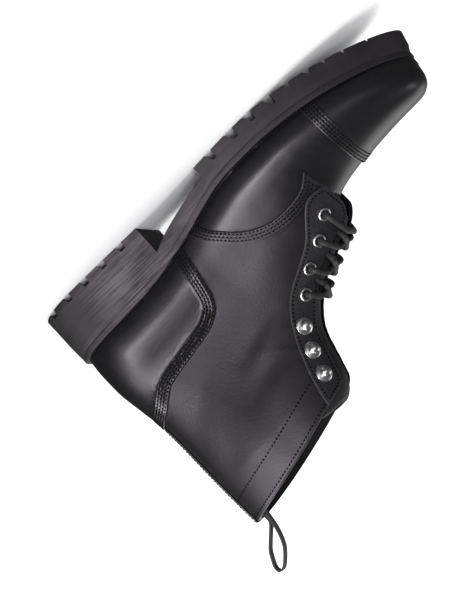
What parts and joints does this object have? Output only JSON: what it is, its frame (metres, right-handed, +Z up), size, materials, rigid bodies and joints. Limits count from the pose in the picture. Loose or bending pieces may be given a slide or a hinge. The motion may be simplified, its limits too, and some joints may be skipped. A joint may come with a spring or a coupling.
{
  "type": "work boot",
  "caption": "Ankle-high lace-up work boot with toe cap, heel counter, eyelets, hooks, pull loop and lugged rubber sole with a separate heel.",
  "frame": {"origin": "on the floor, in the middle of the heel's flat underside", "axes": "+X from heel to toe, +Y to the boot's left (its outer side), +Z up"},
  "size_m": [0.3074, 0.1068, 0.2303],
  "materials": {
    "rubber": "matt moulded rubber",
    "footbed": "woven footbed cover",
    "vamp": "smooth polished black leather",
    "cap": "smooth polished black leather",
    "quarter": "fine-grained black leather, softly polished",
    "eyestay": "matt pebbled black leather",
    "counter": "smooth polished black leather",
    "tongue": "soft black leather",
    "nickel": "bright nickel plate",
    "cord": "braided black cord",
    "webbing": "woven black tape"
  },
  "bodies": {
    "root": {"backstay": "counter", "counter": "counter", "eyelet_lateral_1": "nickel", "eyelet_lateral_2": "nickel", "eyelet_lateral_3": "nickel", "eyelet_lateral_4": "nickel", "eyelet_medial_1": "nickel", "eyelet_medial_2": "nickel", "eyelet_medial_3": "nickel", "eyelet_medial_4": "nickel", "eyestay_lateral": "eyestay", "eyestay_medial": "eyestay", "heel": "rubber", "hook_lateral_1": "nickel", "hook_lateral_2": "nickel", "hook_lateral_3": "nickel", "hook_medial_1": "nickel", "hook_medial_2": "nickel", "hook_medial_3": "nickel", "insole": "footbed", "lace_crossing_1": "cord", "lace_crossing_2": "cord", "lace_crossing_3": "cord", "lace_crossing_4": "cord", "outsole": "rubber", "pull_loop": "webbing", "quarter_lateral": "quarter", "quarter_medial": "quarter", "toe_cap": "cap", "tongue": "tongue", "upper": "vamp"}
  },
  "joints": []
}
